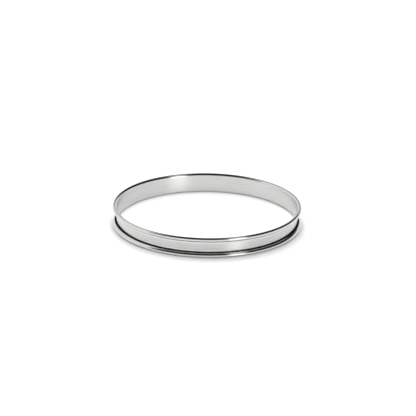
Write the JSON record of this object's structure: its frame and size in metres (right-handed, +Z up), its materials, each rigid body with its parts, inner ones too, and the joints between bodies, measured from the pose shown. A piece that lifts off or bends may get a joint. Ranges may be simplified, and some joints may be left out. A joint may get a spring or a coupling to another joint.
{
  "type": "tart ring",
  "caption": "Low round steel baking ring, open at top and bottom, with a straight wall and both edges rolled outwards into hollow beads.",
  "frame": {"origin": "centre of the ring, on the surface that it stands on", "axes": "+Z up along the ring's own axis, X and Y across it; the ring is the same whichever way it is turned round Z"},
  "size_m": [0.1896, 0.1896, 0.02],
  "materials": {
    "stainless_steel": "satin wall with fine brush lines running round the ring, rolled edges drawn smooth and nearly polished"
  },
  "bodies": {
    "root": {"tart_ring": "stainless_steel"}
  },
  "joints": []
}
